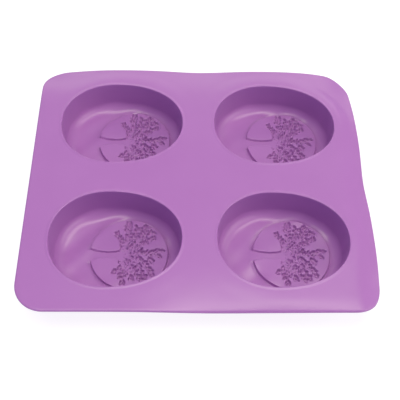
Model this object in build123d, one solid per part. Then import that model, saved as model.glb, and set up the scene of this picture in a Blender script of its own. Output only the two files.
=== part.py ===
"""Four-cavity silicone soap mould: a flat sheet with four egg-shaped cups hanging below it.

Units are millimetres. The origin is the centre of the base: z = 0 is the table under the cups,
+Z is up, +X runs along the cups' length and +Y across them.

The real mould is one moulding. It is built here from its regions: the sheet, a wall for each cup,
a flexible floor for each cup that can be pushed up to free the soap, and the raised medallion
on each floor, into which a tree is sunk.
"""
from build123d import *
import os
from math import atan2, cos, degrees, pi, radians, sin, tan

# ---- the sheet ----
SHEET_LENGTH = 219.0
SHEET_WIDTH = 188.0
SHEET_CORNER_RADIUS = 18.0
SHEET_THICKNESS = 2.2
SHEET_EDGE_ROUNDING = 0.8

# ---- the cups ----
HEIGHT = 26.0                 # table to the top of the sheet
CUP_SPACING_X = 103.9
CUP_SPACING_Y = 90.3
MOUTH_LENGTH_LEFT = 36.5      # from the widest line to the left end of the mouth
MOUTH_LENGTH_RIGHT = 45.5     # from the widest line to the right end
MOUTH_HALF_WIDTH = 33.4
SQUARENESS = 2.12             # 2 is an ellipse, more is squarer
OUTLINE_POINTS = 32
WALL_THICKNESS = 2.2
FLOOR_THICKNESS = 2.8
WALL_DRAFT = 3.5              # degrees that the walls lean in towards the floor
INNER_BOTTOM_RADIUS = 7.0
OUTER_BOTTOM_RADIUS = 4.5
LIP_RADIUS = 1.0

# ---- the flexible floors ----
FLOOR_INSET = 6.0             # from the mouth's outline to the line where the floor flexes
FLEX_GAP = 0.3                # clearance that stands in for the thin stretching silicone
UNDERSIDE_RELIEF = 0.3        # the floors stay this far off the table

# ---- the medallions, each with its own frame: centre at 0, 0 and the tree growing towards +X ----
MEDALLION_RADIUS = 25.1
MEDALLION_SHIFT = 7.4         # from the middle of the cup's length
MEDALLION_HEIGHT = 2.1
TRUNK_ROOT_WIDTH = 8.0
TRUNK_WAIST_WIDTH = 4.5
TRUNK_CROWN_WIDTH = 7.0
TRUNK_ROOT_X = -26.0
TRUNK_WAIST_X = -14.0
TRUNK_CROWN_X = -4.0
TRUNK_DROP = -0.5             # the trunk lies a little below the middle
BOUGH_TIP_WIDTH = 0.7
LEAF_SLIMNESS = 0.52          # a leaf's width over its length
LEAF_LEAN = 42.0              # degrees between a leaf and its bough
SMALLEST_ISLAND = 0.8         # square mm: smaller scraps between the leaves are left out

# Each bough: its route from the trunk to its tip, its width at the trunk, and its leaves' count and length.
BOUGHS = [
    {"route": [(-6.5, 1.0), (-4.6, 7.0), (-8.0, 14.6)], "width": 1.9, "leaves": 6, "leaf": 3.4},
    {"route": [(-5.0, 1.0), (-1.6, 9.0), (-0.6, 18.6)], "width": 2.2, "leaves": 8, "leaf": 3.6},
    {"route": [(-3.5, 1.0), (4.2, 8.6), (10.4, 19.0)], "width": 2.2, "leaves": 10, "leaf": 3.8},
    {"route": [(-2.0, 0.5), (6.6, 6.4), (15.6, 11.6)], "width": 2.0, "leaves": 9, "leaf": 3.6},
    {"route": [(-4.0, -0.6), (7.0, 0.6), (18.0, 1.2)], "width": 2.2, "leaves": 9, "leaf": 3.6},
    {"route": [(-3.0, -1.4), (8.0, -5.2), (14.2, -14.0)], "width": 2.2, "leaves": 10, "leaf": 3.8},
    {"route": [(-4.0, -2.2), (1.2, -8.2), (7.0, -17.6)], "width": 2.0, "leaves": 8, "leaf": 3.6},
    {"route": [(-5.5, -2.2), (-2.4, -9.0), (-3.6, -17.8)], "width": 2.0, "leaves": 7, "leaf": 3.4},
    {"route": [(-7.0, -2.6), (-4.4, -7.6), (-7.6, -11.8)], "width": 1.7, "leaves": 3, "leaf": 3.0},
]
# Leaves at the boughs' tips: base point, direction in degrees and length.
TIP_LEAVES = [
    {"base": (-7.6, 14.4), "angle": 150, "length": 3.4},
    {"base": (-0.5, 18.2), "angle": 91, "length": 5.6},
    {"base": (10.2, 18.4), "angle": 62, "length": 4.0},
    {"base": (15.0, 11.4), "angle": 22, "length": 4.0},
    {"base": (16.6, 1.8), "angle": 14, "length": 6.4},
    {"base": (17.0, 0.6), "angle": -42, "length": 5.0},
    {"base": (14.0, -13.4), "angle": -58, "length": 4.2},
    {"base": (6.8, -17.2), "angle": -66, "length": 4.2},
    {"base": (-3.6, -17.2), "angle": -98, "length": 5.6},
    {"base": (-7.2, -11.6), "angle": 214, "length": 3.8},
]

CUP_CENTRES = {
    "front_left": (-CUP_SPACING_X / 2, -CUP_SPACING_Y / 2),
    "front_right": (CUP_SPACING_X / 2, -CUP_SPACING_Y / 2),
    "back_left": (-CUP_SPACING_X / 2, CUP_SPACING_Y / 2),
    "back_right": (CUP_SPACING_X / 2, CUP_SPACING_Y / 2),
}
WIDEST_X = (MOUTH_LENGTH_LEFT - MOUTH_LENGTH_RIGHT) / 2
DRAFT_SLOPE = tan(radians(WALL_DRAFT))


def cup_outline(offset, z, start=0):
    """Closed egg-shaped wire, centred on the cup, with its sides `offset` outside the mouth's.

    It starts and ends at the angle `start`, which keeps the seams of crossing blocks apart.
    """
    half_width = MOUTH_HALF_WIDTH + offset
    points = []
    for step in range(OUTLINE_POINTS):
        turn = start + 2 * pi * step / OUTLINE_POINTS
        half_length = MOUTH_LENGTH_RIGHT if cos(turn) > 0 else MOUTH_LENGTH_LEFT
        across = abs(cos(turn) / (half_length + offset)) ** SQUARENESS
        up = abs(sin(turn) / half_width) ** SQUARENESS
        reach = (across + up) ** (-1 / SQUARENESS)
        points.append((WIDEST_X + reach * cos(turn), reach * sin(turn), z))
    return Wire([Spline(points, periodic=True).edge()])


def tapered_egg(offset, top_z, bottom_z, bottom_radius):
    """Solid egg-shaped block that narrows downwards, with its bottom edge rounded."""
    bottom_offset = offset - (HEIGHT - bottom_z) * DRAFT_SLOPE
    top_offset = offset - (HEIGHT - top_z) * DRAFT_SLOPE
    block = Solid.make_loft([cup_outline(bottom_offset, bottom_z), cup_outline(top_offset, top_z)])
    bottom_edges = block.edges().group_by(Axis.Z)[0]
    return fillet(bottom_edges, bottom_radius)


def egg_prism(offset, bottom_z, top_z):
    """Straight-sided egg-shaped block between two heights."""
    face = Face(cup_outline(offset, bottom_z, start=pi))
    return extrude(face, amount=top_z - bottom_z, dir=(0, 0, 1))


def cup_body():
    """The outside of one cup as a full block, from the table to the top of the sheet."""
    return tapered_egg(WALL_THICKNESS, HEIGHT, 0, OUTER_BOTTOM_RADIUS)


def cup_shell():
    """One hollow cup with its wall, floor and rounded lip."""
    cavity = tapered_egg(0, HEIGHT, FLOOR_THICKNESS, INNER_BOTTOM_RADIUS)
    shell = cup_body() - cavity
    lip_edge = shell.edges().group_by(Axis.Z)[-1].sort_by(SortBy.LENGTH)[0]
    return fillet(lip_edge, LIP_RADIUS)


def cup_wall(shell):
    """The cup without its flexible floor."""
    opening = egg_prism(-FLOOR_INSET, -1, INNER_BOTTOM_RADIUS)
    return shell - opening


def cup_floor(shell):
    """The flexible floor, with its underside just off the table."""
    return shell & egg_prism(-FLOOR_INSET - FLEX_GAP, UNDERSIDE_RELIEF, INNER_BOTTOM_RADIUS)


def leaf_face(base, angle, length):
    """Pointed leaf between two arcs, growing from `base` in the direction `angle`."""
    along = Vector(cos(radians(angle)), sin(radians(angle)))
    across = Vector(-along.Y, along.X) * (length * LEAF_SLIMNESS / 2)
    root = Vector(base)
    tip = root + along * length
    belly = root + along * (length * 0.5)
    upper = ThreePointArc(root, belly + across, tip)
    lower = ThreePointArc(tip, belly - across, root)
    return make_face(upper + lower)


def bough_face(route, width):
    """Tapering branch along a spline through the route's points."""
    centre_line = Spline(*route)
    stations = [0, 0.25, 0.5, 0.75, 1]
    left = []
    right = []
    for station in stations:
        half_width = (width + (BOUGH_TIP_WIDTH - width) * station) / 2
        point = centre_line @ station
        tangent = centre_line % station
        across = Vector(-tangent.Y, tangent.X) * half_width
        left.append(point + across)
        right.append(point - across)
    right.reverse()
    outline = Spline(*left) + Line(left[-1], right[0]) + Spline(*right) + Line(right[-1], left[0])
    return make_face(outline)


def bough_leaves(bough):
    """Leaves on alternate sides of one bough, smaller towards its ends."""
    centre_line = Spline(*bough["route"])
    leaves = []
    for number in range(bough["leaves"]):
        station = 0.28 + 0.66 * number / (bough["leaves"] - 1)
        side = 1 if number % 2 else -1
        tangent = centre_line % station
        angle = degrees(atan2(tangent.Y, tangent.X)) + side * LEAF_LEAN
        length = bough["leaf"] * (0.85 + 0.25 * sin(pi * station))
        base = centre_line @ station
        leaves.append(leaf_face((base.X, base.Y), angle, length))
    return leaves


def trunk_face():
    """Trunk that narrows to a waist and spreads again into the crown."""
    profile = [(TRUNK_ROOT_X, TRUNK_ROOT_WIDTH / 2 + 0.4), (TRUNK_WAIST_X, TRUNK_WAIST_WIDTH / 2),
               (TRUNK_CROWN_X, TRUNK_CROWN_WIDTH / 2)]
    upper = [(x, TRUNK_DROP + half_width) for x, half_width in profile]
    lower = [(x, TRUNK_DROP - half_width) for x, half_width in reversed(profile)]
    outline = Spline(*upper) + Line(upper[-1], lower[0]) + Spline(*lower) + Line(lower[-1], upper[0])
    return make_face(outline)


def tree_faces():
    """Every outline that is sunk into a medallion."""
    faces = [trunk_face()]
    for bough in BOUGHS:
        faces.append(bough_face(bough["route"], bough["width"]))
        faces.extend(bough_leaves(bough))
    for leaf in TIP_LEAVES:
        faces.append(leaf_face(leaf["base"], leaf["angle"], leaf["length"]))
    return faces


def tree_medallion(floor):
    """Raised disc on the floor with the tree cut through it, down to the floor."""
    plate = Circle(MEDALLION_RADIUS) - tree_faces()
    islands = [face for face in plate.faces() if face.area > SMALLEST_ISLAND]
    raised = [Pos(MEDALLION_SHIFT, 0, FLOOR_THICKNESS) * extrude(face, amount=MEDALLION_HEIGHT)
              for face in islands]
    seated = [solid for piece in raised for solid in (piece - floor).solids()]
    return Compound(seated)


def sheet(cup_bodies):
    """The flat sheet with rounded corners and edges, open where the cups hang."""
    outline = RectangleRounded(SHEET_LENGTH, SHEET_WIDTH, SHEET_CORNER_RADIUS)
    plate = extrude(outline, amount=SHEET_THICKNESS)
    rims = plate.edges().group_by(Axis.Z)[0] + plate.edges().group_by(Axis.Z)[-1]
    plate = fillet(rims, SHEET_EDGE_ROUNDING)
    plate = Pos(0, 0, HEIGHT - SHEET_THICKNESS) * plate
    return plate - cup_bodies


def save(name, shape):
    """Write one node."""
    node = Compound(shape.solids())
    node.label = name
    export_step(node, f"parts/{name}.step")


os.makedirs("parts", exist_ok=True)
shell = cup_shell()
wall = cup_wall(shell)
floor = cup_floor(shell)
medallion = tree_medallion(floor)
body = cup_body()

save("deck", sheet([body.moved(Location((x, y, 0))) for x, y in CUP_CENTRES.values()]))
for place, (x, y) in CUP_CENTRES.items():
    save(f"cup_wall_{place}", wall.moved(Location((x, y, 0))))
    save(f"cup_floor_{place}", floor.moved(Location((x, y, 0))))
    save(f"tree_relief_{place}", medallion.moved(Location((x, y, 0))))
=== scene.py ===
"""Four-cavity silicone soap mould: the looks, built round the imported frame.

One soft moulding: a thin purple sheet with four egg-shaped cups hanging below it, and on each
cup's floor a raised round medallion into which a tree is sunk. Shapes are worked out in mm and
turned into metres as each mesh is finished.
"""
import math
import bmesh
import bpy
import numpy as np
from mathutils import Matrix, Vector


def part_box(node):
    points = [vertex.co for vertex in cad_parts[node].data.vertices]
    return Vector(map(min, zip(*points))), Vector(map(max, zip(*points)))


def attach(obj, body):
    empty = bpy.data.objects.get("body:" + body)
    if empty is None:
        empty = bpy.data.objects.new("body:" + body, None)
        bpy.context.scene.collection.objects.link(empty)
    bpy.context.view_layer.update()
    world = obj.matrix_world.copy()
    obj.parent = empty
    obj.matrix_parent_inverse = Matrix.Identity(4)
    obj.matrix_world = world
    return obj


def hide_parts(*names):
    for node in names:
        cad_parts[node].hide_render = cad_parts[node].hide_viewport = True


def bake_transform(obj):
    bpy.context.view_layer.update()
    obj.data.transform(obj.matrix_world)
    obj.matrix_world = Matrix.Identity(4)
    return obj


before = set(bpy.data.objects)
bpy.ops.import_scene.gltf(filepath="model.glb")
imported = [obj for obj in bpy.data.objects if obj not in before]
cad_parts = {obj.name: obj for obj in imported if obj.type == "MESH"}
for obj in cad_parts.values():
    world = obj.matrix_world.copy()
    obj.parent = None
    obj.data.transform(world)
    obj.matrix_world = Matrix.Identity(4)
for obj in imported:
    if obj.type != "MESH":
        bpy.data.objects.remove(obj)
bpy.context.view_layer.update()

# ======================================================================================
# The sheet
# A flat sheet of opaque purple silicone, a little over 2 mm thick with rounded edges and
# corners, open where the cups hang. It is limp, so its free borders droop a little.
# ======================================================================================

MM = 0.001
SPOKES = 512                       # points round each cup
CUP_PLACES = ("front_left", "front_right", "back_left", "back_right")

sheet_low, sheet_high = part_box("deck")
SHEET_TOP = sheet_high.z / MM
SHEET_THICKNESS = (sheet_high.z - sheet_low.z) / MM
SHEET_HALF_LENGTH = sheet_high.x / MM
SHEET_HALF_WIDTH = sheet_high.y / MM
SHEET_CORNER = 18.0
SHEET_EDGE = 0.95                  # rounding of the sheet's edge
SHEET_RINGS = 17                   # from a cup to the sheet's border
SEAM_OFFSET = 4.5                  # the sheet and a cup meet this far outside the mouth

MOUTH_LEFT = 36.5                  # widest line to the left end of a mouth
MOUTH_RIGHT = 45.5
MOUTH_HALF_WIDTH = 33.4
SQUARENESS = 2.12
WIDEST_X = (MOUTH_LEFT - MOUTH_RIGHT) / 2     # from the middle of a mouth's length

# Where the sheet droops, or rises where the depth is negative: centre, reach along X and Y,
# and depth.
DROOPS = (
    # right border, between the right cups, back right corner, front right corner
    {"x": 112.0, "y": 0.0, "reach_x": 14.0, "reach_y": 400.0, "depth": 2.6},
    {"x": 112.0, "y": 0.0, "reach_x": 16.0, "reach_y": 20.0, "depth": 2.4},
    {"x": 118.0, "y": 96.0, "reach_x": 34.0, "reach_y": 32.0, "depth": 5.8},
    {"x": 118.0, "y": -86.0, "reach_x": 14.0, "reach_y": 22.0, "depth": 5.0},
    # between the back cups, back border, back left corner
    {"x": 0.0, "y": 98.0, "reach_x": 26.0, "reach_y": 20.0, "depth": 1.9},
    {"x": 0.0, "y": 98.0, "reach_x": 400.0, "reach_y": 12.0, "depth": 0.9},
    {"x": -104.0, "y": 98.0, "reach_x": 26.0, "reach_y": 16.0, "depth": 3.4},
    # front border, between the front cups, low ridge by the front right corner
    {"x": 44.0, "y": -99.0, "reach_x": 50.0, "reach_y": 7.0, "depth": 2.4},
    {"x": 2.0, "y": -98.0, "reach_x": 30.0, "reach_y": 18.0, "depth": 1.7},
    {"x": 98.0, "y": -92.0, "reach_x": 7.0, "reach_y": 30.0, "depth": -0.7},
)
RIPPLE = 0.12                      # the free sheet is never quite flat
RIPPLE_X = 17.0                    # mm for each radian of the ripple
RIPPLE_Y = 13.0
RIPPLE_START = 0.6
LEVEL_MARGIN = 1.5                 # the sheet is level this far round a cup
STIFF_MARGIN = 13.0                # and quite free to droop this far out
FREE_FLANGE = 16.5                 # width of the border outside the cups
FARTHEST = 200.0                   # where a search by halving starts
EGG_HALVINGS = 30
BORDER_HALVINGS = 40
TOUCHING = 0.01                    # points closer than this lie on the same line
WELD = 0.00002                     # in metres


def cup_centre(place):
    """Middle of a cup's mouth, in mm."""
    low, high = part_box("cup_wall_" + place)
    return (low.x + high.x) / 2 / MM, (low.y + high.y) / 2 / MM


CUP_CENTRES = {place: cup_centre(place) for place in CUP_PLACES}


def egg(turn, offset):
    """Points round a cup, `offset` outside its mouth, measured from the middle of its length."""
    half_length = np.where(np.cos(turn) > 0, MOUTH_RIGHT, MOUTH_LEFT) + offset
    along = np.abs(np.cos(turn) / half_length) ** SQUARENESS
    across = np.abs(np.sin(turn) / (MOUTH_HALF_WIDTH + offset)) ** SQUARENESS
    reach = (along + across) ** (-1 / SQUARENESS)
    return WIDEST_X + reach * np.cos(turn), reach * np.sin(turn)


def egg_offset(x, y):
    """How far points lie outside a cup's mouth, found by halving."""
    x = x - WIDEST_X
    low = np.full(x.shape, -MOUTH_HALF_WIDTH + 0.5)     # just short of the cup's middle
    high = np.full(x.shape, FARTHEST)
    for _ in range(EGG_HALVINGS):
        middle = (low + high) / 2
        half_length = np.where(x > 0, MOUTH_RIGHT, MOUTH_LEFT) + middle
        along = np.abs(x / half_length) ** SQUARENESS
        across = np.abs(y / (MOUTH_HALF_WIDTH + middle)) ** SQUARENESS
        outside = along + across > 1
        low = np.where(outside, middle, low)
        high = np.where(outside, high, middle)
    return (low + high) / 2


def smooth(value, start, end):
    """0 before start, 1 after end, and smooth between."""
    share = np.clip((value - start) / (end - start), 0, 1)
    return share * share * (3 - 2 * share)


def droop(x, y):
    """How far the limp sheet hangs below level at a point, in mm."""
    free = np.full(x.shape, FARTHEST)
    for cup_x, cup_y in CUP_CENTRES.values():
        free = np.minimum(free, egg_offset(x - cup_x, y - cup_y))
    depth = np.zeros(x.shape)
    for spot in DROOPS:
        away_x = (x - spot["x"]) / spot["reach_x"]
        away_y = (y - spot["y"]) / spot["reach_y"]
        depth += spot["depth"] * np.exp(-(away_x ** 2 + away_y ** 2))
    ripple = RIPPLE * (1 + np.sin(x / RIPPLE_X + RIPPLE_START) * np.cos(y / RIPPLE_Y))
    return (depth + ripple) * smooth(free, LEVEL_MARGIN, STIFF_MARGIN)


def hung(x, y, down, normal_x, normal_y):
    """Points `down` below the sheet's top, let down by the droop and drawn in by it."""
    depth = droop(x, y)
    drawn_in = depth ** 2 / (2 * FREE_FLANGE)
    points = [x - normal_x * drawn_in, y - normal_y * drawn_in, SHEET_TOP - down - depth]
    return np.stack(points, 1) * MM


def border_distance(x, y):
    """How far points lie outside the sheet's rounded outline, negative inside."""
    over_x = np.abs(x) - (SHEET_HALF_LENGTH - SHEET_CORNER)
    over_y = np.abs(y) - (SHEET_HALF_WIDTH - SHEET_CORNER)
    outside = np.hypot(np.maximum(over_x, 0), np.maximum(over_y, 0))
    return outside + np.minimum(np.maximum(over_x, over_y), 0) - SHEET_CORNER


def border_normal(x, y):
    """Outward direction of the sheet's outline near each point."""
    step = 0.01
    normal_x = border_distance(x + step, y) - border_distance(x - step, y)
    normal_y = border_distance(x, y + step) - border_distance(x, y - step)
    length = np.maximum(np.hypot(normal_x, normal_y), step)
    return normal_x / length, normal_y / length


def quarter_border(side_x, side_y, turn):
    """Where spokes from the middle of one quarter of the sheet meet that quarter's border."""
    middle_x = side_x * SHEET_HALF_LENGTH / 2
    middle_y = side_y * SHEET_HALF_WIDTH / 2
    spoke_x, spoke_y = np.cos(turn), np.sin(turn)
    low = np.zeros(turn.shape)
    high = np.full(turn.shape, FARTHEST)
    for _ in range(BORDER_HALVINGS):
        middle = (low + high) / 2
        x = middle_x + middle * spoke_x
        y = middle_y + middle * spoke_y
        out = (border_distance(x, y) > -SHEET_EDGE) | (x * side_x < 0) | (y * side_y < 0)
        low = np.where(out, low, middle)
        high = np.where(out, middle, high)
    x = middle_x + low * spoke_x
    y = middle_y + low * spoke_y
    edge_x = side_x * (SHEET_HALF_LENGTH - SHEET_EDGE)
    edge_y = side_y * (SHEET_HALF_WIDTH - SHEET_EDGE)
    for corner_x, corner_y in ((0, 0), (0, edge_y), (edge_x, 0)):
        nearest = np.argmin(np.hypot(x - corner_x, y - corner_y))
        x[nearest] = corner_x
        y[nearest] = corner_y
    return x, y


def skin_mesh(name, rings, creased, skip=None, poles=False, loop=False):
    """Mesh skinned over rings of points, each face counter-clockwise seen from outside.

    `creased` lists the rings that are sharp corners, `skip` marks the faces left out, `poles`
    closes the first and last rings with a point each, and `loop` joins the last ring to the first.
    """
    count = len(rings[0])
    points = np.concatenate(rings)
    spoke = np.arange(count)
    following = (spoke + 1) % count
    faces = []
    for ring in range(len(rings) if loop else len(rings) - 1):
        inner = ring * count
        outer = (ring + 1) % len(rings) * count
        band = [inner + spoke, outer + spoke, outer + following, inner + following]
        band = np.stack(band, 1)
        faces.append(band if skip is None else band[~skip[ring]])
    faces = np.concatenate(faces).tolist()
    if poles:
        first = len(points)
        points = np.concatenate([points, [rings[0].mean(0)], [rings[-1].mean(0)]])
        last_ring = (len(rings) - 1) * count
        for here, after in zip(spoke.tolist(), following.tolist()):
            faces.append((first, here, after))
            faces.append((last_ring + here, first + 1, last_ring + after))
    mesh = bpy.data.meshes.new(name)
    mesh.from_pydata(points.tolist(), [], faces)
    ends = np.zeros(len(mesh.edges) * 2, int)
    mesh.edges.foreach_get("vertices", ends)
    ring_of = ends.reshape(-1, 2) // count
    sharp = (ring_of[:, 0] == ring_of[:, 1]) & np.isin(ring_of[:, 0], creased)
    mesh.attributes.new("sharp_edge", "BOOLEAN", "EDGE").data.foreach_set("value", sharp)
    mesh.update()
    return mesh


def show(name, mesh, material):
    """Object at the origin with a smooth mesh."""
    mesh.materials.clear()
    mesh.materials.append(material)
    mesh.polygons.foreach_set("use_smooth", [True] * len(mesh.polygons))
    piece = bpy.data.objects.new(name, mesh)
    bpy.context.scene.collection.objects.link(piece)
    return piece


def rounded_border(angles):
    """(how far out, how far down) over the edge of the sheet, from its top to its underside."""
    upper = [(SHEET_EDGE * math.sin(a), SHEET_EDGE * (1 - math.cos(a))) for a in angles]
    lower = [(out, SHEET_THICKNESS - down) for out, down in reversed(upper)]
    return upper + lower


def sheet_quarter(place):
    """One quarter of the sheet: over the top, round the border, back underneath and up the seam."""
    cup_x, cup_y = CUP_CENTRES[place]
    turn = np.arange(SPOKES) * 2 * math.pi / SPOKES
    inner_x, inner_y = egg(turn, SEAM_OFFSET)
    inner_x, inner_y = inner_x + cup_x, inner_y + cup_y
    outer_x, outer_y = quarter_border(math.copysign(1, cup_x), math.copysign(1, cup_y), turn)
    on_border = border_distance(outer_x, outer_y) > -SHEET_EDGE - TOUCHING
    normal_x, normal_y = border_normal(outer_x, outer_y)
    top = []
    for share in np.linspace(0, 1, SHEET_RINGS):
        x = inner_x + (outer_x - inner_x) * share
        y = inner_y + (outer_y - inner_y) * share
        top.append((x, y, 0.0))
    edge = [(outer_x + normal_x * out, outer_y + normal_y * out, down)
            for out, down in rounded_border(np.radians([22.5, 45, 67.5, 90]))]
    underside = [(x, y, SHEET_THICKNESS) for x, y, _ in reversed(top)]
    rings = [hung(x, y, down, normal_x, normal_y) for x, y, down in top + edge + underside]
    skip = np.zeros((len(rings), SPOKES), bool)
    skip[len(top) - 1:len(top) + len(edge)] = ~(on_border & np.roll(on_border, -1))
    return skin_mesh("sheet quarter " + place, rings, [0, len(rings) - 1], skip, loop=True)


def whole_sheet():
    """The four quarters welded into one sheet."""
    welded = bmesh.new()
    for place in CUP_PLACES:
        quarter = sheet_quarter(place)
        welded.from_mesh(quarter)
        bpy.data.meshes.remove(quarter)
    bmesh.ops.delete(welded, geom=[v for v in welded.verts if not v.link_faces], context="VERTS")
    bmesh.ops.remove_doubles(welded, verts=welded.verts, dist=WELD)
    mesh = bpy.data.meshes.new("top sheet")
    welded.to_mesh(mesh)
    welded.free()
    return mesh


# The silicone leaves its tool with a fine satin skin, and handling leaves it a little
# shinier in some patches than in others.
SILICONE = (0.386, 0.152, 0.438, 1)
SILICONE_CLOUD = (0.414, 0.168, 0.468, 1)
SILICONE_SHINE = 0.33              # mean roughness
SHINE_SPREAD = 0.16                # how much the patches change it, from dullest to shiniest
GRAIN_HEIGHT = 0.000007            # in metres
CLOUD_SCALE = 34.0                 # how many to a metre
PATCH_SCALE = 22.0
GRAIN_SCALE = 1500.0
SILICONE_IOR = 1.5


def node_group(name, sockets_in, sockets_out):
    """Shader node group with named sockets, its input node and its output node."""
    group = bpy.data.node_groups.new(name, "ShaderNodeTree")
    for label, kind in sockets_in:
        group.interface.new_socket(label, in_out="INPUT", socket_type=kind)
    for label, kind in sockets_out:
        group.interface.new_socket(label, in_out="OUTPUT", socket_type=kind)
    return group, group.nodes.new("NodeGroupInput"), group.nodes.new("NodeGroupOutput")


def add(tree, kind, inputs=None, **settings):
    """New node in a tree, with its settings and with plain values or links for its inputs."""
    node = tree.nodes.new(kind)
    for key, value in settings.items():
        setattr(node, key, value)
    for key, value in (inputs or {}).items():
        if isinstance(value, bpy.types.NodeSocket):
            tree.links.new(value, node.inputs[key])
        else:
            node.inputs[key].default_value = value
    return node


def satin_skin_group():
    """Cloudy patches of colour and shine, and the fine grain of the tool's surface."""
    group, given, result = node_group(
        "satin silicone skin",
        [("Colour", "NodeSocketColor"), ("Cloud Colour", "NodeSocketColor"),
         ("Shine", "NodeSocketFloat"), ("Shine Spread", "NodeSocketFloat"),
         ("Grain Height", "NodeSocketFloat")],
        [("Colour", "NodeSocketColor"), ("Roughness", "NodeSocketFloat"),
         ("Normal", "NodeSocketVector")])
    given = given.outputs
    place = add(group, "ShaderNodeTexCoord").outputs["Object"]
    clouds = add(group, "ShaderNodeTexNoise",
                 {"Vector": place, "Scale": CLOUD_SCALE, "Detail": 4.0, "Roughness": 0.6})
    patches = add(group, "ShaderNodeTexNoise",
                  {"Vector": place, "Scale": PATCH_SCALE, "Detail": 3.0, "Roughness": 0.55})
    grain = add(group, "ShaderNodeTexNoise",
                {"Vector": place, "Scale": GRAIN_SCALE, "Detail": 2.0, "Roughness": 0.5})
    mix = add(group, "ShaderNodeMix", {"Factor": clouds.outputs["Fac"]}, data_type="RGBA")
    group.links.new(given["Colour"], mix.inputs["A"])
    group.links.new(given["Cloud Colour"], mix.inputs["B"])
    centred = add(group, "ShaderNodeMath", {0: patches.outputs["Fac"], 1: 0.5},
                  operation="SUBTRACT")
    spread = add(group, "ShaderNodeMath", {0: centred.outputs[0], 1: given["Shine Spread"]},
                 operation="MULTIPLY")
    shine = add(group, "ShaderNodeMath", {0: spread.outputs[0], 1: given["Shine"]},
                operation="ADD")
    bump = add(group, "ShaderNodeBump",
               {"Strength": 1.0, "Distance": given["Grain Height"], "Height": grain.outputs["Fac"]})
    group.links.new(mix.outputs["Result"], result.inputs["Colour"])
    group.links.new(shine.outputs[0], result.inputs["Roughness"])
    group.links.new(bump.outputs["Normal"], result.inputs["Normal"])
    return group


def purple_silicone():
    """Opaque purple silicone with its satin skin."""
    material = bpy.data.materials.new("purple silicone")
    material.use_nodes = True
    tree = material.node_tree
    skin = add(tree, "ShaderNodeGroup", node_tree=satin_skin_group())
    for label, value in (("Colour", SILICONE), ("Cloud Colour", SILICONE_CLOUD),
                         ("Shine", SILICONE_SHINE), ("Shine Spread", SHINE_SPREAD),
                         ("Grain Height", GRAIN_HEIGHT)):
        skin.inputs[label].default_value = value
    body = tree.nodes["Principled BSDF"]
    body.inputs["IOR"].default_value = SILICONE_IOR
    tree.links.new(skin.outputs["Colour"], body.inputs["Base Color"])
    tree.links.new(skin.outputs["Roughness"], body.inputs["Roughness"])
    tree.links.new(skin.outputs["Normal"], body.inputs["Normal"])
    return material


PURPLE_SILICONE = purple_silicone()

top_sheet = show("top_sheet", whole_sheet(), PURPLE_SILICONE)
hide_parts("deck")
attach(top_sheet, "tray")

# ======================================================================================
# The tree on the medallions
# A plain round medallion stands up from each cup's floor, so that the bar has a shallow dish
# there, and the tree is sunk into it down to the floor: trunk, boughs and pointed leaves.
# ======================================================================================

# Each bough: its route from the trunk to its tip, its width at the trunk, and its leaves.
BOUGHS = (
    {"route": ((-6.5, 1.0), (-4.6, 7.0), (-8.0, 14.6)), "width": 1.5, "leaves": 11},
    {"route": ((-5.0, 1.0), (-1.6, 9.0), (-0.6, 18.6)), "width": 1.7, "leaves": 15},
    {"route": ((-3.5, 1.0), (4.2, 8.6), (10.4, 19.0)), "width": 1.7, "leaves": 17},
    {"route": ((-2.0, 0.5), (6.6, 6.4), (15.6, 11.6)), "width": 1.6, "leaves": 14},
    {"route": ((-4.0, -0.6), (7.0, 0.6), (18.0, 1.2)), "width": 1.7, "leaves": 16},
    {"route": ((-3.0, -1.4), (8.0, -5.2), (14.2, -14.0)), "width": 1.7, "leaves": 16},
    {"route": ((-4.0, -2.2), (1.2, -8.2), (7.0, -17.6)), "width": 1.5, "leaves": 14},
    {"route": ((-5.5, -2.2), (-2.4, -9.0), (-3.6, -17.8)), "width": 1.5, "leaves": 12},
    {"route": ((-7.0, -2.6), (-4.4, -7.6), (-7.6, -11.8)), "width": 1.2, "leaves": 5},
    {"route": ((3.0, 7.4), (7.6, 12.0), (14.4, 16.2)), "width": 1.1, "leaves": 9},
    {"route": ((-2.2, 8.0), (2.4, 13.0), (4.6, 19.4)), "width": 1.0, "leaves": 8},
    {"route": ((4.4, -3.2), (6.6, -9.4), (11.2, -16.6)), "width": 1.1, "leaves": 9},
    {"route": ((0.6, -7.2), (0.2, -12.0), (2.0, -18.0)), "width": 1.0, "leaves": 8},
    {"route": ((-3.2, -10.0), (-4.6, -11.0), (-7.0, -12.2)), "width": 0.8, "leaves": 0},
    {"route": ((8.0, -5.0), (12.0, -5.6), (15.0, -6.0)), "width": 1.0, "leaves": 4},
)
BOUGH_TIP_WIDTH = 0.6
BOUGH_POINTS = 9

# The small leaves, which stand by turns on either side of a bough.
TWIG_LEAF_LENGTH = 2.5
TWIG_LEAF_WIDTH = 1.35
FIRST_LEAF = 0.16                  # share of the bough before its first leaf
LEAF_LEAN = math.radians(46)       # between a small leaf and its bough
LEAN_CHANGE = 0.25                 # share by which the lean changes from leaf to leaf
SIZE_CHANGE = 0.18                 # and the size

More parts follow.
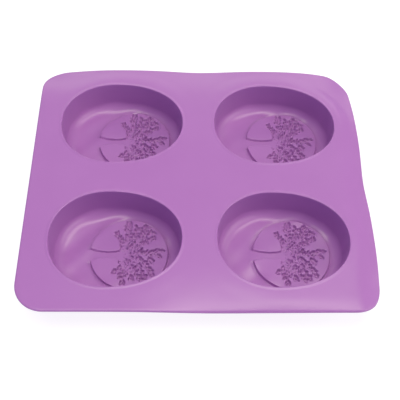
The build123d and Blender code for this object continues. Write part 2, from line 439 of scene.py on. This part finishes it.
# The larger leaves, which have a midrib: base point, direction in degrees, length and width.
LARGE_LEAVES = (
    (-0.6, 18.8, 91, 6.6, 3.4), (-6.8, 14.4, 156, 3.6, 1.7), (-1.6, 16.6, 148, 3.0, 1.6),
    (-1.4, 19.4, 150, 2.6, 1.4), (-4.6, 4.8, 104, 3.8, 2.0), (2.8, 4.8, 134, 2.6, 1.5),
    (2.9, 4.8, 44, 2.8, 1.6), (6.0, 5.8, 74, 3.6, 2.2), (8.7, 6.8, 96, 3.2, 1.5),
    (9.9, 8.8, 40, 4.2, 2.3), (13.6, 11.6, 6, 3.4, 1.3), (2.2, 10.6, 52, 2.6, 1.3),
    (6.2, 17.0, 62, 3.2, 1.7), (9.0, 18.4, 70, 3.8, 2.2), (11.4, 18.8, 58, 4.4, 2.4),
    (12.6, 15.2, 24, 3.6, 2.0), (5.3, 1.0, 118, 2.8, 1.5), (6.7, 1.4, 60, 3.6, 1.6),
    (15.8, 1.9, 24, 3.9, 2.2), (18.9, 2.6, -4, 4.0, 2.1), (17.4, 0.2, 38, 2.6, 1.3),
    (17.4, -0.2, -38, 4.4, 2.4), (13.4, 0.4, -64, 2.8, 1.4), (-1.1, -6.4, 136, 3.9, 1.9),
    (-1.0, -6.2, 62, 2.6, 1.3), (1.1, -4.7, -6, 4.4, 3.0), (12.4, -2.2, -60, 5.8, 3.6),
    (6.0, -2.2, -28, 2.6, 1.5), (8.2, -4.0, -60, 4.0, 1.7), (10.0, -7.8, -20, 2.6, 1.5),
    (11.8, -10.2, -16, 2.8, 1.6), (13.4, -12.2, -48, 3.0, 1.7), (14.0, -14.2, -56, 3.0, 1.9),
    (6.2, -8.0, -36, 3.8, 2.0), (4.0, -8.4, -70, 2.8, 1.6), (-6.9, -12.1, 206, 4.2, 2.8),
    (-4.4, -13.6, 208, 2.8, 1.5), (-4.6, -15.6, 226, 2.8, 1.4), (-3.2, -18.2, -114, 4.2, 1.9),
    (-3.0, -18.2, -82, 4.0, 1.9), (1.0, -15.6, -44, 3.2, 2.1), (6.6, -16.8, -62, 3.8, 1.9),
    (10.4, -15.8, -66, 3.0, 1.7), (8.3, -13.6, -80, 3.0, 1.5),
)
LEAF_STATIONS = 9                  # steps along a leaf's outline
LEAF_ROUNDNESS = 0.85              # below 1 the leaf is fuller towards its ends
LEAF_TIP = 0.001                   # the ends of the unit leaf are not quite closed
MIDRIB_START = 0.34                # shares of the leaf's length
MIDRIB_END = 0.64

# The trunk from its foot to the boughs: place along the medallion and half width.
TRUNK = ((-26.5, 4.7), (-20.5, 2.7), (-14.0, 1.9), (-9.0, 2.3), (-3.5, 3.7))
TRUNK_Y = -0.5
MEDALLION_SHIFT = 7.4              # from the middle of the cup's length

# How the tree is sunk. Reaches are in mm from its outline, and the rest are shares of the
# medallion's height.
SINKING = {
    "Edge Slope": 0.25,            # the steep side of every trunk, bough and leaf
    "Shoulder Reach": 0.7,         # the soft shoulder along their edges
    "Shoulder Share": 0.12,
    "Leaf Extra Depth": 0.2,       # the leaves go a little deeper than the boughs
    "Midrib Reach": 0.5,
    "Midrib Height": 0.6,
}


def along_bough(route, share):
    """Point and direction, share of the way along the curve through a bough's three points."""
    start, middle, tip = (np.array(point) for point in route)
    bend = 2 * start - 4 * middle + 2 * tip
    slope = -3 * start + 4 * middle - tip
    return start + slope * share + bend * share ** 2, slope + 2 * bend * share


def bough_curves():
    """The trunk and boughs as one curve object, whose radius is half their width."""
    curves = bpy.data.curves.new("boughs", "CURVE")
    curves.dimensions = "3D"
    strokes = [[(x, TRUNK_Y, half_width) for x, half_width in TRUNK]]
    for bough in BOUGHS:
        stroke = []
        for share in np.linspace(0, 1, BOUGH_POINTS):
            (x, y), _ = along_bough(bough["route"], share)
            width = bough["width"] + (BOUGH_TIP_WIDTH - bough["width"]) * share
            stroke.append((x, y, width / 2))
        strokes.append(stroke)
    for stroke in strokes:
        spline = curves.splines.new("POLY")
        spline.points.add(len(stroke) - 1)
        for point, (x, y, half_width) in zip(spline.points, stroke):
            point.co = (x + MEDALLION_SHIFT, y, 0, 1)
            point.radius = half_width
    return bpy.data.objects.new("boughs", curves)


def leaf_points():
    """Points that hold the leaves: the small ones along each bough, then the larger ones."""
    leaves = []
    for bough in BOUGHS:
        for number in range(bough["leaves"]):
            share = FIRST_LEAF + (1 - FIRST_LEAF) * number / (bough["leaves"] - 1)
            side = 1 if number % 2 else -1
            (x, y), (run_x, run_y) = along_bough(bough["route"], share)
            lean = LEAF_LEAN * (1 + LEAN_CHANGE * math.sin(5.0 * number))
            turn = math.atan2(run_y, run_x) + side * lean
            size = 1 + SIZE_CHANGE * math.sin(3.0 * number + x)
            leaves.append((x, y, turn, TWIG_LEAF_LENGTH * size, TWIG_LEAF_WIDTH * size, False))
    for x, y, direction, length, width in LARGE_LEAVES:
        leaves.append((x, y, math.radians(direction), length, width, True))
    mesh = bpy.data.meshes.new("leaf points")
    mesh.from_pydata([(leaf[0] + MEDALLION_SHIFT, leaf[1], 0) for leaf in leaves], [], [])
    labels = (("turn", "FLOAT"), ("length", "FLOAT"), ("width", "FLOAT"), ("ribbed", "BOOLEAN"))
    for column, (label, kind) in enumerate(labels, start=2):
        values = mesh.attributes.new(label, kind, "POINT").data
        values.foreach_set("value", [leaf[column] for leaf in leaves])
    return bpy.data.objects.new("leaf points", mesh)


def one_leaf():
    """Flat pointed leaf of unit length and width along +X, a ladder of quads."""
    points = []
    for station in range(LEAF_STATIONS):
        along = station / (LEAF_STATIONS - 1)
        half_width = 0.5 * math.sin(math.pi * along) ** LEAF_ROUNDNESS + LEAF_TIP
        points += [(along, half_width, 0), (along, -half_width, 0)]
    faces = [(2 * n, 2 * n + 1, 2 * n + 3, 2 * n + 2) for n in range(LEAF_STATIONS - 1)]
    mesh = bpy.data.meshes.new("leaf")
    mesh.from_pydata(points, [], faces)
    return bpy.data.objects.new("leaf", mesh)


def one_midrib():
    """Middle line of the unit leaf, clear of its ends."""
    mesh = bpy.data.meshes.new("midrib")
    mesh.from_pydata([(MIDRIB_START, 0, 0), (MIDRIB_END, 0, 0)], [(0, 1)], [])
    return bpy.data.objects.new("midrib", mesh)


def sunk_tree_group():
    """Geometry nodes that sink the tree into the surface wherever its "raised" value is above 0."""
    tree = bpy.data.node_groups.new("sunk tree", "GeometryNodeTree")
    sockets = [("Skin", "NodeSocketGeometry"), ("Boughs", "NodeSocketObject"),
               ("Leaf Points", "NodeSocketObject"), ("Leaf", "NodeSocketObject"),
               ("Midrib", "NodeSocketObject")]
    sockets += [(label, "NodeSocketFloat") for label in SINKING]
    sockets += [("Silicone", "NodeSocketMaterial")]
    for label, kind in sockets:
        tree.interface.new_socket(label, in_out="INPUT", socket_type=kind)
    tree.interface.new_socket("Skin", in_out="OUTPUT", socket_type="NodeSocketGeometry")
    given = tree.nodes.new("NodeGroupInput").outputs
    flat = (1, 1, 0)

    boughs = add(tree, "GeometryNodeObjectInfo", {"Object": given["Boughs"]})
    ring = add(tree, "GeometryNodeCurvePrimitiveCircle", {"Resolution": 8, "Radius": 1.0})
    radius = add(tree, "GeometryNodeInputRadius")
    tubes = add(tree, "GeometryNodeCurveToMesh",
                {"Curve": boughs.outputs["Geometry"], "Profile Curve": ring.outputs["Curve"],
                 "Scale": radius.outputs[0]})

    places = add(tree, "GeometryNodeObjectInfo", {"Object": given["Leaf Points"]})
    turn, length, width, ribbed = [add(tree, "GeometryNodeInputNamedAttribute", {"Name": label})
                                   for label in ("turn", "length", "width", "ribbed")]
    heading = add(tree, "ShaderNodeCombineXYZ", {"Z": turn.outputs["Attribute"]})
    size = add(tree, "ShaderNodeCombineXYZ",
               {"X": length.outputs["Attribute"], "Y": width.outputs["Attribute"], "Z": 1.0})
    grown = []
    for label, chosen in (("Leaf", True), ("Midrib", ribbed.outputs["Attribute"])):
        model = add(tree, "GeometryNodeObjectInfo", {"Object": given[label]})
        copies = add(tree, "GeometryNodeInstanceOnPoints",
                     {"Points": places.outputs["Geometry"], "Instance": model.outputs["Geometry"],
                      "Rotation": heading.outputs[0], "Scale": size.outputs[0],
                      "Selection": chosen})
        grown.append(add(tree, "GeometryNodeRealizeInstances",
                         {"Geometry": copies.outputs["Instances"]}))

    where = add(tree, "GeometryNodeInputPosition")
    level = add(tree, "ShaderNodeVectorMath", {0: where.outputs[0], 1: flat},
                operation="MULTIPLY")
    pressed = add(tree, "GeometryNodeSetPosition",
                  {"Geometry": tubes.outputs["Mesh"], "Position": level.outputs[0]})
    away = []
    for target, element in ((pressed.outputs[0], "FACES"), (grown[0].outputs[0], "FACES"),
                            (grown[1].outputs[0], "EDGES")):
        near = add(tree, "GeometryNodeProximity",
                   {"Geometry": target, "Sample Position": level.outputs[0]},
                   target_element=element)
        away.append(near.outputs["Distance"])
    from_boughs, from_leaves, from_midribs = away

    def combined(first, operation, second):
        """Result of a sum on two values."""
        return add(tree, "ShaderNodeMath", {0: first, 1: second}, operation=operation).outputs[0]

    from_tree = combined(from_boughs, "MINIMUM", from_leaves)
    cliff, shoulder, extra, midrib = [
        add(tree, "ShaderNodeMapRange",
            {"Value": distance, "From Max": reach, "To Min": full, "To Max": 0.0},
            interpolation_type="SMOOTHSTEP").outputs[0]
        for distance, reach, full in (
            (from_tree, given["Edge Slope"], 1.0),
            (from_tree, given["Shoulder Reach"], given["Shoulder Share"]),
            (from_leaves, given["Edge Slope"], given["Leaf Extra Depth"]),
            (from_midribs, given["Midrib Reach"], given["Midrib Height"]))]
    above = combined(1.0, "SUBTRACT", shoulder)
    steep = combined(cliff, "MULTIPLY", above)
    whole = combined(steep, "ADD", shoulder)
    deeper = combined(whole, "ADD", extra)
    sunk = combined(deeper, "SUBTRACT", midrib)

    raised = add(tree, "GeometryNodeInputNamedAttribute", {"Name": "raised"})
    depth = combined(raised.outputs["Attribute"], "MULTIPLY", sunk)
    lower = combined(0.0, "SUBTRACT", depth)
    down = add(tree, "ShaderNodeCombineXYZ", {"Z": lower})
    carved = add(tree, "GeometryNodeSetPosition",
                 {"Geometry": given["Skin"], "Offset": down.outputs[0]})
    real = add(tree, "GeometryNodeRealizeInstances", {"Geometry": carved.outputs[0]})
    painted = add(tree, "GeometryNodeSetMaterial",
                  {"Geometry": real.outputs[0], "Material": given["Silicone"]})
    result = tree.nodes.new("NodeGroupOutput")
    tree.links.new(painted.outputs[0], result.inputs["Skin"])
    return tree


# ======================================================================================
# The cups
# Each cup is one skin: lip, leaning wall, rounded bottom edge and floor inside, and the same
# outside. Near its lip it follows the sheet's droop.
# ======================================================================================

WALL_THICKNESS = 2.2
WALL_DRAFT = math.radians(3.5)
INNER_BOTTOM_RADIUS = 7.0
OUTER_BOTTOM_RADIUS = 4.5
LIP_RADIUS = 0.6
LIP_BEAD = 0.22                    # the lip stands this far above the sheet
LIP_BEAD_WIDTH = 1.4
UNDER_LIP_RADIUS = 1.5
# Points on the cup's profile, from its inner bottom edge round to the foot.
INNER_BOTTOM_POINTS = 10
INNER_WALL_POINTS = 14
LIP_POINTS = 7
BEAD_POINTS = 9
UNDER_LIP_POINTS = 5
OUTER_WALL_POINTS = 12
OUTER_BOTTOM_POINTS = 7

MEDALLION_RADIUS = 25.1
MEDALLION_EDGE = 0.5               # width of the medallion's steep rim
MEDALLION_FOOT = 0.1               # the last ring of the medallion lies this far outside it
MEDALLION_RINGS = 96
RIM_RINGS = 6
FLOOR_RINGS = 15                   # from the medallion to the cup's bottom edge
FLOOR_CROWDING = 1.5               # above 1 they lie closer together near the medallion
UNDERSIDE_SHARES = (0.85, 0.65, 0.45, 0.25, 0.05)    # rings of the underside, as shares of the foot
CENTRE_RADIUS = 0.15               # of the innermost ring
GROOVE_DEPTH = 0.35                # the floor is a little lower along the medallion's foot
GROOVE_RADIUS = 25.6
GROOVE_REACH = 0.8
ROOT_INSIDE = 3.6                  # the groove stops at the trunk's root: none of it nearer to
ROOT_OUTSIDE = 5.0                 # the trunk's middle than the first, and all beyond the second
FLOOR_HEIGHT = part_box("tree_relief_front_left")[0].z / MM
MEDALLION_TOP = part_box("tree_relief_front_left")[1].z / MM
BEYOND_MEDALLION = -5.0            # offset inside the mouth that clears the medallion all round


def wall_offset(z):
    """How far outside the mouth the inside of the wall is at a height: it leans in, so below 0."""
    return -(SHEET_TOP - z) * math.tan(WALL_DRAFT)


BOTTOM_CENTRE_Z = FLOOR_HEIGHT + INNER_BOTTOM_RADIUS
BOTTOM_CENTRE_OFFSET = wall_offset(BOTTOM_CENTRE_Z) - INNER_BOTTOM_RADIUS / math.cos(WALL_DRAFT)


def floor_height(x, y):
    """Height of a cup's floor and its rounded edge at a point inside the cup."""
    into_edge = np.maximum(egg_offset(x, y) - BOTTOM_CENTRE_OFFSET, 0)
    into_edge = np.minimum(into_edge, INNER_BOTTOM_RADIUS)
    return BOTTOM_CENTRE_Z - np.sqrt(INNER_BOTTOM_RADIUS ** 2 - into_edge ** 2)


def arc(centre_offset, centre_z, radius, angles):
    """Profile points on an arc; angle 0 points in towards the cup's middle and 90 degrees up."""
    return [(centre_offset - radius * math.cos(a), centre_z + radius * math.sin(a))
            for a in angles]


def cup_profile():
    """(offset from the mouth, height) from beyond the medallion, over the lip, to the underside."""
    first = math.asin((BEYOND_MEDALLION - BOTTOM_CENTRE_OFFSET) / INNER_BOTTOM_RADIUS)
    profile = []
    for tilt in np.linspace(first, math.pi / 2 - WALL_DRAFT, INNER_BOTTOM_POINTS):
        profile.append((BOTTOM_CENTRE_OFFSET + INNER_BOTTOM_RADIUS * math.sin(tilt),
                        BOTTOM_CENTRE_Z - INNER_BOTTOM_RADIUS * math.cos(tilt)))
    lip_z = SHEET_TOP + LIP_BEAD - LIP_RADIUS
    lip_offset = wall_offset(lip_z) + LIP_RADIUS / math.cos(WALL_DRAFT)
    lip = arc(lip_offset, lip_z, LIP_RADIUS, np.linspace(WALL_DRAFT, math.pi / 2, LIP_POINTS))
    for z in np.linspace(profile[-1][1], lip[0][1], INNER_WALL_POINTS)[1:-1]:
        profile.append((wall_offset(z), z))
    profile += lip
    for offset in np.linspace(lip_offset, SEAM_OFFSET, BEAD_POINTS)[1:]:
        bead = LIP_BEAD * (1 - smooth(offset, lip_offset, lip_offset + LIP_BEAD_WIDTH))
        profile.append((offset, SHEET_TOP + bead))

    underside = SHEET_TOP - SHEET_THICKNESS
    under_z = underside - UNDER_LIP_RADIUS
    under_offset = WALL_THICKNESS + wall_offset(under_z) + UNDER_LIP_RADIUS / math.cos(WALL_DRAFT)
    profile.append((SEAM_OFFSET, underside))
    profile += arc(under_offset, under_z, UNDER_LIP_RADIUS,
                   np.linspace(math.pi / 2, WALL_DRAFT, UNDER_LIP_POINTS))
    foot_z = OUTER_BOTTOM_RADIUS
    foot_offset = WALL_THICKNESS + wall_offset(foot_z) - OUTER_BOTTOM_RADIUS / math.cos(WALL_DRAFT)
    for z in np.linspace(profile[-1][1], foot_z, OUTER_WALL_POINTS)[1:-1]:
        profile.append((WALL_THICKNESS + wall_offset(z), z))
    for tilt in np.linspace(math.pi / 2 - WALL_DRAFT, 0, OUTER_BOTTOM_POINTS):
        profile.append((foot_offset + OUTER_BOTTOM_RADIUS * math.sin(tilt),
                        foot_z - OUTER_BOTTOM_RADIUS * math.cos(tilt)))
    return profile


def cup_rings():
    """Rings from the middle of the medallion, out over the lip, to the middle of the underside.

    The second result is how far each point stands above the floor as part of the medallion.
    """
    turn = np.arange(SPOKES) * 2 * math.pi / SPOKES
    medallion_flat = MEDALLION_RADIUS - MEDALLION_EDGE
    radii = [*np.linspace(CENTRE_RADIUS, medallion_flat, MEDALLION_RINGS),
             *np.linspace(medallion_flat, MEDALLION_RADIUS + MEDALLION_FOOT, RIM_RINGS)[1:]]
    rings = [(MEDALLION_SHIFT + radius * np.cos(turn), radius * np.sin(turn)) for radius in radii]
    rim_x, rim_y = rings[-1]
    beyond_x, beyond_y = egg(turn, BEYOND_MEDALLION)
    for share in np.linspace(0, 1, FLOOR_RINGS)[1:-1] ** FLOOR_CROWDING:
        rings.append((rim_x + (beyond_x - rim_x) * share, rim_y + (beyond_y - rim_y) * share))
    floor_rings = []
    raised = []
    for x, y in rings:
        from_middle = np.hypot(x - MEDALLION_SHIFT, y)
        past_root = smooth(np.abs(y - TRUNK_Y), ROOT_INSIDE, ROOT_OUTSIDE)
        past_root = np.where(x < MEDALLION_SHIFT, past_root, 1.0)
        groove = GROOVE_DEPTH * np.exp(-((from_middle - GROOVE_RADIUS) / GROOVE_REACH) ** 2)
        low = floor_height(x, y) - past_root * groove
        stands = 1 - smooth(from_middle, medallion_flat, MEDALLION_RADIUS)
        stands = (MEDALLION_TOP - low) * stands
        floor_rings.append(np.stack([x, y, low + stands], 1))
        raised.append(stands)
    wall_rings = []
    for offset, z in cup_profile():
        x, y = egg(turn, offset)
        wall_rings.append(np.stack([x, y, np.full(SPOKES, z)], 1))
    foot = wall_rings[-1]
    middle = foot.mean(0)
    for share in UNDERSIDE_SHARES:
        wall_rings.append(middle + (foot - middle) * share)
    raised += [np.zeros(SPOKES)] * len(wall_rings)
    pole_heights = [MEDALLION_TOP - FLOOR_HEIGHT, 0.0]
    return floor_rings + wall_rings, np.concatenate(raised + [pole_heights])


SEAM_X = egg(np.zeros(1), SEAM_OFFSET)[0][0]


def cup_with_tree(material):
    """One cup in its own frame, in mm, with the tree sunk into its medallion by geometry nodes."""
    rings, raised = cup_rings()
    seam = [number for number, ring in enumerate(rings) if abs(ring[0][0] - SEAM_X) < TOUCHING]
    blank = skin_mesh("cup blank", rings, seam, poles=True)
    blank.attributes.new("raised", "FLOAT", "POINT").data.foreach_set("value", raised)
    holder = bpy.data.objects.new("cup blank", blank)
    helpers = {"Boughs": bough_curves(), "Leaf Points": leaf_points(), "Leaf": one_leaf(),
               "Midrib": one_midrib()}
    for thing in (holder, *helpers.values()):
        bpy.context.scene.collection.objects.link(thing)
    sinking = holder.modifiers.new("sunk tree", "NODES")
    sinking.node_group = sunk_tree_group()
    wanted = {**helpers, **SINKING, "Silicone": material}
    for socket in sinking.node_group.interface.items_tree:
        if socket.in_out == "INPUT" and socket.name in wanted:
            sinking[socket.identifier] = wanted[socket.name]
    depsgraph = bpy.context.evaluated_depsgraph_get()
    evaluated = holder.evaluated_get(depsgraph)
    carved = bpy.data.meshes.new_from_object(evaluated, depsgraph=depsgraph)
    for thing in (holder, *helpers.values()):
        bpy.data.objects.remove(thing)
    return carved


# A soft floor wavers: how far it rises and sinks, and how much of that is left on the medallion.
WAVER = 0.38
WAVER_ON_MEDALLION = 0.25
WAVER_GROWS = (6, 2)               # from inside the medallion's rim to outside it
WAVE_X = 5.3                       # mm for each radian of the waves along X, along Y and across
WAVE_Y = 4.6
CROSS_WAVE = 3.4
CROSS_WAVE_SHARE = 0.6
FIRST_PHASE = 1.1                  # each cup's waves start elsewhere, so that no two are alike
WAVER_FADE_UP = (6, 14)            # heights over which it dies away up the wall
WAVER_FADE_DOWN = (0.5, 2.5)       # and towards the flat ring that the cup stands on
LIP_FOLLOWS_DROOP = (18, 22)       # heights over which a cup comes to follow the sheet's droop


def wavering(points, phase):
    """How far a soft cup's bottom rises at its points: most round the edge of the floor."""
    x, y, z = points.T
    waves = np.sin(x / WAVE_X + phase) * np.cos(y / WAVE_Y + 1.7 * phase)
    waves = waves + CROSS_WAVE_SHARE * np.sin((x - y) / CROSS_WAVE + 2.3 * phase)
    inside, outside = WAVER_GROWS
    from_middle = np.hypot(x - MEDALLION_SHIFT, y)
    near_edge = smooth(from_middle, MEDALLION_RADIUS - inside, MEDALLION_RADIUS + outside)
    strength = WAVER_ON_MEDALLION + (1 - WAVER_ON_MEDALLION) * near_edge
    return WAVER * waves * strength * (1 - smooth(z, *WAVER_FADE_UP)) * smooth(z, *WAVER_FADE_DOWN)


cup_model = cup_with_tree(PURPLE_SILICONE)
for number, (place, (cup_x, cup_y)) in enumerate(CUP_CENTRES.items()):
    cup_mesh = cup_model.copy()
    points = np.zeros(len(cup_mesh.vertices) * 3)
    cup_mesh.vertices.foreach_get("co", points)
    points = points.reshape(-1, 3)
    points[:, 2] += wavering(points, FIRST_PHASE + number)
    points += (cup_x, cup_y, 0)
    x, y, z = points.T
    points[:, 2] -= droop(x, y) * smooth(z, *LIP_FOLLOWS_DROOP)
    cup_mesh.vertices.foreach_set("co", (points * MM).ravel())
    cup_mesh.update()
    cup = show("cup_" + place, cup_mesh, PURPLE_SILICONE)
    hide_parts("cup_wall_" + place, "cup_floor_" + place, "tree_relief_" + place)
    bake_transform(cup)
bpy.data.meshes.remove(cup_model)

# ======================================================================================
# The table, the light and the camera
# A white table, and three soft lights: a long one overhead, a wide one behind and a large one
# at the right. A pale room fills the shadows.
# ======================================================================================

TABLE_REACH = 4
TABLE_TOP = -0.0003                # just below the cups, so that the two never share a plane
TABLE_GREY = (0.3, 0.3, 0.3, 1)    # so dark that hardly any of the mould's purple shows on it
TABLE_GLOW = 0.82                  # and bright by itself, so that it looks white
TABLE_ROUGHNESS = 0.9

table_mesh = bpy.data.meshes.new("table")
table_mesh.from_pydata(
    [(x, y, TABLE_TOP) for x, y in ((-TABLE_REACH, -TABLE_REACH), (TABLE_REACH, -TABLE_REACH),
                                    (TABLE_REACH, TABLE_REACH), (-TABLE_REACH, TABLE_REACH))],
    [], [(0, 1, 2, 3)])
table = bpy.data.objects.new("table", table_mesh)
bpy.context.scene.collection.objects.link(table)
table_paint = bpy.data.materials.new("white table")
table_paint.use_nodes = True
paint = table_paint.node_tree.nodes["Principled BSDF"].inputs
paint["Base Color"].default_value = TABLE_GREY
paint["Roughness"].default_value = TABLE_ROUGHNESS
paint["Emission Color"].default_value = (1, 1, 1, 1)
paint["Emission Strength"].default_value = TABLE_GLOW
table_mesh.materials.append(table_paint)

LAMP_COLOUR = (1.0, 1.0, 0.78)


def soft_light(name, place, width, depth, power):
    """Rectangular lamp at a place, facing the middle of the table."""
    lamp = bpy.data.lights.new(name, "AREA")
    lamp.shape = "RECTANGLE"
    lamp.size = width
    lamp.size_y = depth
    lamp.energy = power
    lamp.color = LAMP_COLOUR
    holder = bpy.data.objects.new(name, lamp)
    bpy.context.scene.collection.objects.link(holder)
    facing = Vector(place).to_track_quat("Z", "Y").to_matrix().to_4x4()
    holder.matrix_world = Matrix.Translation(place) @ facing


soft_light("overhead softbox", (0.02, -0.04, 0.9), width=1.0, depth=0.3, power=5.9)
soft_light("back softbox", (0.0, 1.7, 1.0), width=2.4, depth=0.6, power=10.5)
soft_light("side softbox", (1.7, -0.5, 1.1), width=2.0, depth=1.2, power=17.5)

ROOM_COLOUR = (0.82, 0.76, 1.4, 1)
ROOM_STRENGTH = 0.3

room = bpy.data.worlds.new("pale room")
bpy.context.scene.world = room
room.use_nodes = True
room.node_tree.nodes["Background"].inputs["Color"].default_value = ROOM_COLOUR
room.node_tree.nodes["Background"].inputs["Strength"].default_value = ROOM_STRENGTH

CAMERA_PLACE = (-0.012025, -0.262877, 0.408399)
CAMERA_DOWN = math.radians(57.3)
CAMERA_TURN = math.radians(-2.918)     # about the vertical, to the right
CAMERA_ROLL = math.radians(2.829)
SENSOR_WIDTH = 36                      # in mm, as the focal length
FOCAL_LENGTH = 64.28

camera_lens = bpy.data.cameras.new("camera")
camera_lens.sensor_width = SENSOR_WIDTH
camera_lens.lens = FOCAL_LENGTH
camera_lens.clip_start = 0.01
camera_lens.clip_end = 20
camera = bpy.data.objects.new("camera", camera_lens)
bpy.context.scene.collection.objects.link(camera)
camera.matrix_world = (Matrix.Translation(CAMERA_PLACE) @ Matrix.Rotation(CAMERA_TURN, 4, "Z")
                       @ Matrix.Rotation(math.pi / 2 - CAMERA_DOWN, 4, "X")
                       @ Matrix.Rotation(CAMERA_ROLL, 4, "Z"))
bpy.context.scene.camera = camera
bpy.context.scene.view_settings.view_transform = "Standard"
